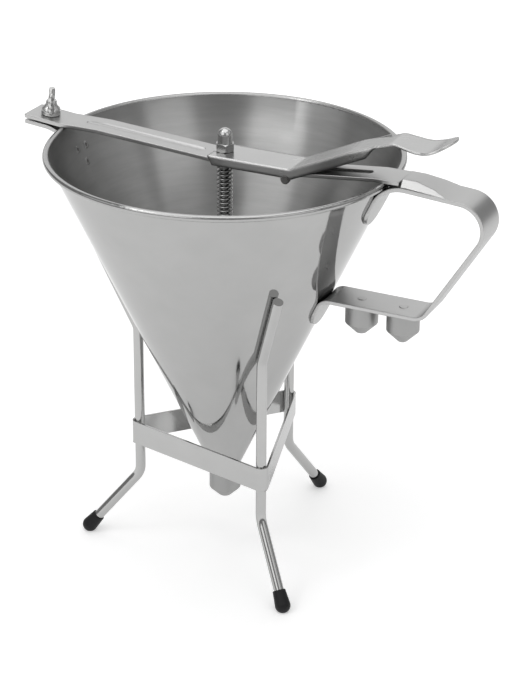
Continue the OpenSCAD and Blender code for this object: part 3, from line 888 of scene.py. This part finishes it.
def wind_spring(detail, material):
    """Round-wire coil with closed ends, in place of the coarse one."""
    low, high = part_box("spring")
    wire, radius = detail.wire, detail.wire / 2
    coil = (high.x - low.x) / 2 - radius
    floor_z, roof_z = low.z + radius, high.z - radius
    closed, per_turn, sides = 1.0, 28, 10
    steps = detail.turns * per_turn
    pitch = (roof_z - floor_z - 2 * closed * wire) / (detail.turns - 2 * closed)
    points = []
    for i in range(steps + 1):
        turn = i / per_turn
        if turn < closed:
            z = floor_z + turn * wire
        elif turn > detail.turns - closed:
            z = roof_z - (detail.turns - turn) * wire
        else:
            z = floor_z + closed * wire + (turn - closed) * pitch
        out = level(2 * math.pi * turn)
        for j in range(sides):
            b = 2 * math.pi * j / sides
            spot = out * (coil + radius * math.cos(b))
            points.append((AXIS_X + spot.x, spot.y, z + radius * math.sin(b)))
    faces = ring_faces(steps + 1, sides)
    faces += end_faces(0, steps, sides)
    piece = make_piece(
        "spring_coil", points, faces, [material], "funnel", "spring_wire"
    )
    for face in piece.data.polygons[-2:]:
        face.use_smooth = False
    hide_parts("spring")
    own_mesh(piece)


class DISPENSER_OT_nozzles(bpy.types.Operator):
    """Finishes the fitted nozzle, the spare nozzles and their studs"""

    bl_idname = "dispenser.nozzles"
    bl_label = "Nozzles"

    def execute(self, context):
        look = context.scene.dispenser_steel
        turned = steel(
            "nozzle_steel", look.turned_colour, 0.42, "z", grain=0.1, bump=0.06
        )
        for name in ("fitted_nozzle", "spare_nozzle_inner", "spare_nozzle_outer"):
            dress(name, turned)
            soften(name, 0.0004)
        rivet = steel("rivet_steel", look.strap_colour, 0.4, "even", bump=0.1)
        dress("nozzle_studs", rivet)
        return {"FINISHED"}


class DISPENSER_OT_stand(bpy.types.Operator):
    """Finishes the legs, the band and the feet"""

    bl_idname = "dispenser.stand"
    bl_label = "Stand"

    def execute(self, context):
        look = context.scene.dispenser_steel
        edge = context.scene.dispenser_detail.edge
        rod = steel("leg_steel", look.rod_colour, 0.13, "z", grain=0.04)
        band = steel("band_steel", look.rod_colour, 0.16, "x", grain=0.04)
        for name in ("leg_left", "leg_front", "leg_rear"):
            dress(name, rod)
        dress("stand_band", band)
        soften("stand_band", edge / 2)
        rubber = rubber_finish(look)
        for name in ("foot_left", "foot_front", "foot_rear"):
            dress(name, rubber)
            soften(name, 0.0004, segments=3)
        return {"FINISHED"}


def rubber_finish(look):
    """Moulded black rubber with a fine matt skin."""
    material, tree, shader = blank_material("foot_rubber")
    place = add_node(tree, "ShaderNodeTexCoord").outputs["Object"]
    skin = add_node(
        tree,
        "ShaderNodeTexNoise",
        {"Vector": place, "Scale": 1400.0, "Detail": 4.0, "Roughness": 0.6},
    ).outputs["Fac"]
    shader.inputs["Base Color"].default_value = (*look.rubber_colour, 1)
    shader.inputs["Specular IOR Level"].default_value = 0.3
    rough = sums(tree, "MULTIPLY_ADD", skin, 0.2, 0.42)
    tree.links.new(rough, shader.inputs["Roughness"])
    relief = add_node(
        tree, "ShaderNodeBump", {"Height": skin, "Strength": 0.25, "Distance": 0.0002}
    )
    tree.links.new(relief.outputs[0], shader.inputs["Normal"])
    return material


class DISPENSER_OT_welds(bpy.types.Operator):
    """Makes the spot welds, the beads on the stand and the spout's solder line"""

    bl_idname = "dispenser.welds"
    bl_label = "Welds"

    def execute(self, context):
        look = context.scene.dispenser_steel
        detail = context.scene.dispenser_detail
        halo = steel("weld_halo", look.sheet_colour, 0.34, "even", bump=0.1)
        mark = steel("weld_mark", look.weld_colour, 0.5, "even", bump=0.3)
        mark_cone(detail, halo, mark)
        bead = steel("weld_bead", look.weld_colour, 0.3, "even", bump=0.2)
        bead_corners(detail, bead)
        solder_spout(steel("solder", look.sheet_colour, 0.3, "round"))
        return {"FINISHED"}


def mark_cone(detail, halo, mark):
    """Shallow pitted spots inside the cone, over the tails of the straps."""
    radius = detail.weld / 2
    # distance from the middle and height off the wall, in shares of the radius
    profile = (
        (0.12, 0.03),
        (0.34, 0.045),
        (0.46, 0.1),
        (0.66, 0.11),
        (0.88, 0.05),
        (1.05, -0.04),
    )
    clamp_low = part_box("clamp_bracket")[0].z
    handle_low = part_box("handle")[0].z
    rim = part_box("funnel_cone")[1].z
    # height, angle round the funnel's axis
    spots = [(clamp_low + 0.012, math.pi)]
    for side in (1, -1):
        spots += [
            (clamp_low + 0.0195, math.pi + 0.051 * side),
            (rim - 0.017, 0.06 * side),
            (handle_low + 0.007, 0.085 * side),
        ]
    sides, pit_height, wobbles, wobble_size = 24, 0.02, 3, 0.06
    points, faces, dark = [], [], []
    for height, angle in spots:
        place, normal = wall_at("funnel_cone", height, angle)
        phase = height * 9000
        u = normal.orthogonal().normalized()
        v = normal.cross(u)
        start = len(points)
        for share, rise in profile:
            for j in range(sides):
                b = 2 * math.pi * j / sides
                wobble = 1 + wobble_size * math.sin(wobbles * b + phase)
                flat = (u * math.cos(b) + v * math.sin(b)) * share * wobble
                points.append(place + (flat + normal * rise) * radius)
        points.append(place + normal * radius * pit_height)
        quads = ring_faces(len(profile), sides, start)
        faces += quads
        dark += [i < 2 * sides for i in range(len(quads))]
        centre = len(points) - 1
        faces += [(start + (j + 1) % sides, start + j, centre) for j in range(sides)]
        dark += [True] * sides
    piece = make_piece(
        "spot_welds", points, faces, [halo, mark], "funnel", "polished_sheet"
    )
    for face, is_dark in zip(piece.data.polygons, dark):
        face.material_index = int(is_dark)


def lump(centre, axes, phase, points, faces, uneven=0.12):
    """Adds an uneven ellipsoid of cast or weld metal to the lists."""
    rings, sides = 7, 12
    start = len(points)
    for i in range(rings):
        a = math.pi * (i + 0.5) / rings
        for j in range(sides):
            b = 2 * math.pi * j / sides
            swell = 1 + uneven * math.sin(3 * b + phase) * math.sin(2 * a + phase)
            share = (
                math.sin(a) * math.cos(b),
                math.sin(a) * math.sin(b),
                math.cos(a),
            )
            out = sum((axis * c for axis, c in zip(axes, share)), Vector())
            points.append(centre + out * swell)
    faces += ring_faces(rings, sides, start)
    faces += end_faces(start, rings - 1, sides)


def bead_corners(detail, material):
    """Weld beads between each leg and the band, at the band's top and bottom edges."""
    low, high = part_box("stand_band")
    # angle between a leg and its bead, and height past the band's edge
    beside, step = 0.35, 0.001
    points, faces = [], []
    for side in ("left", "front", "rear"):
        foot = node_middle("foot_" + side)
        angle = math.atan2(foot.y, foot.x - AXIS_X)
        turn = level(angle + beside)
        for z, clear in ((high.z, step), (low.z, -step)):
            outer = wall_at("leg_" + side, z + clear, angle, inward=True)[0]
            inner = wall_at("leg_" + side, z + clear, angle)[0]
            centre = (outer + inner) / 2
            centre += turn * ((outer - inner).length / 2 + detail.bead * 0.3)
            centre.z = z
            axes = (
                turn * detail.bead * 0.5,
                Vector((-turn.y, turn.x, 0)) * detail.bead * 0.8,
                Vector((0, 0, detail.bead * 0.4)),
            )
            phase = centre.x * 900 + z * 400
            lump(centre, axes, phase, points, faces)
    make_piece("corner_beads", points, faces, [material], "stand", "rod_steel")


def solder_spout(material):
    """Narrow fillet of solder where the cone meets the spout's collar."""
    low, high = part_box("spout")
    size = 0.0005
    sunk = size * 0.6
    reach = (high.x - low.x) / 2 - sunk
    ring = round_ring(reach, size, high.z, rings=64, sides=8)
    make_piece("spout_solder", *ring, [material], "funnel", "polished_sheet")


class DISPENSER_PT_panel(bpy.types.Panel):
    """Lists the sizes, colours and steps"""

    bl_label = "Batter Dispenser"
    bl_idname = "DISPENSER_PT_panel"
    bl_space_type = "VIEW_3D"
    bl_region_type = "UI"
    bl_category = "Batter Dispenser"

    def draw(self, context):
        for operator in OPERATORS:
            self.layout.operator(operator.bl_idname)
        for group in (
            context.scene.dispenser_steel,
            context.scene.dispenser_stage,
            context.scene.dispenser_detail,
        ):
            box = self.layout.box()
            for key in group.bl_rna.properties.keys():
                if key not in ("rna_type", "name"):
                    box.prop(group, key)


OPERATORS = (
    DISPENSER_OT_stage,
    DISPENSER_OT_funnel,
    DISPENSER_OT_straps,
    DISPENSER_OT_clamp,
    DISPENSER_OT_piston,
    DISPENSER_OT_nozzles,
    DISPENSER_OT_stand,
    DISPENSER_OT_welds,
)
CLASSES = (SteelLook, StageLook, FineDetail, *OPERATORS, DISPENSER_PT_panel)


def register():
    for item in CLASSES:
        bpy.utils.register_class(item)
    bpy.types.Scene.dispenser_steel = PointerProperty(type=SteelLook)
    bpy.types.Scene.dispenser_stage = PointerProperty(type=StageLook)
    bpy.types.Scene.dispenser_detail = PointerProperty(type=FineDetail)


def unregister():
    del bpy.types.Scene.dispenser_detail
    del bpy.types.Scene.dispenser_stage
    del bpy.types.Scene.dispenser_steel
    for item in reversed(CLASSES):
        bpy.utils.unregister_class(item)


def main():
    """Dresses and stages the whole part."""
    register()
    scene = bpy.context.scene
    scene.view_settings.view_transform = "Standard"
    bpy.ops.dispenser.stage()
    bpy.ops.dispenser.funnel()
    bpy.ops.dispenser.straps()
    bpy.ops.dispenser.clamp()
    bpy.ops.dispenser.piston()
    bpy.ops.dispenser.nozzles()
    bpy.ops.dispenser.stand()
    bpy.ops.dispenser.welds()


if __name__ == "__main__":
    main()
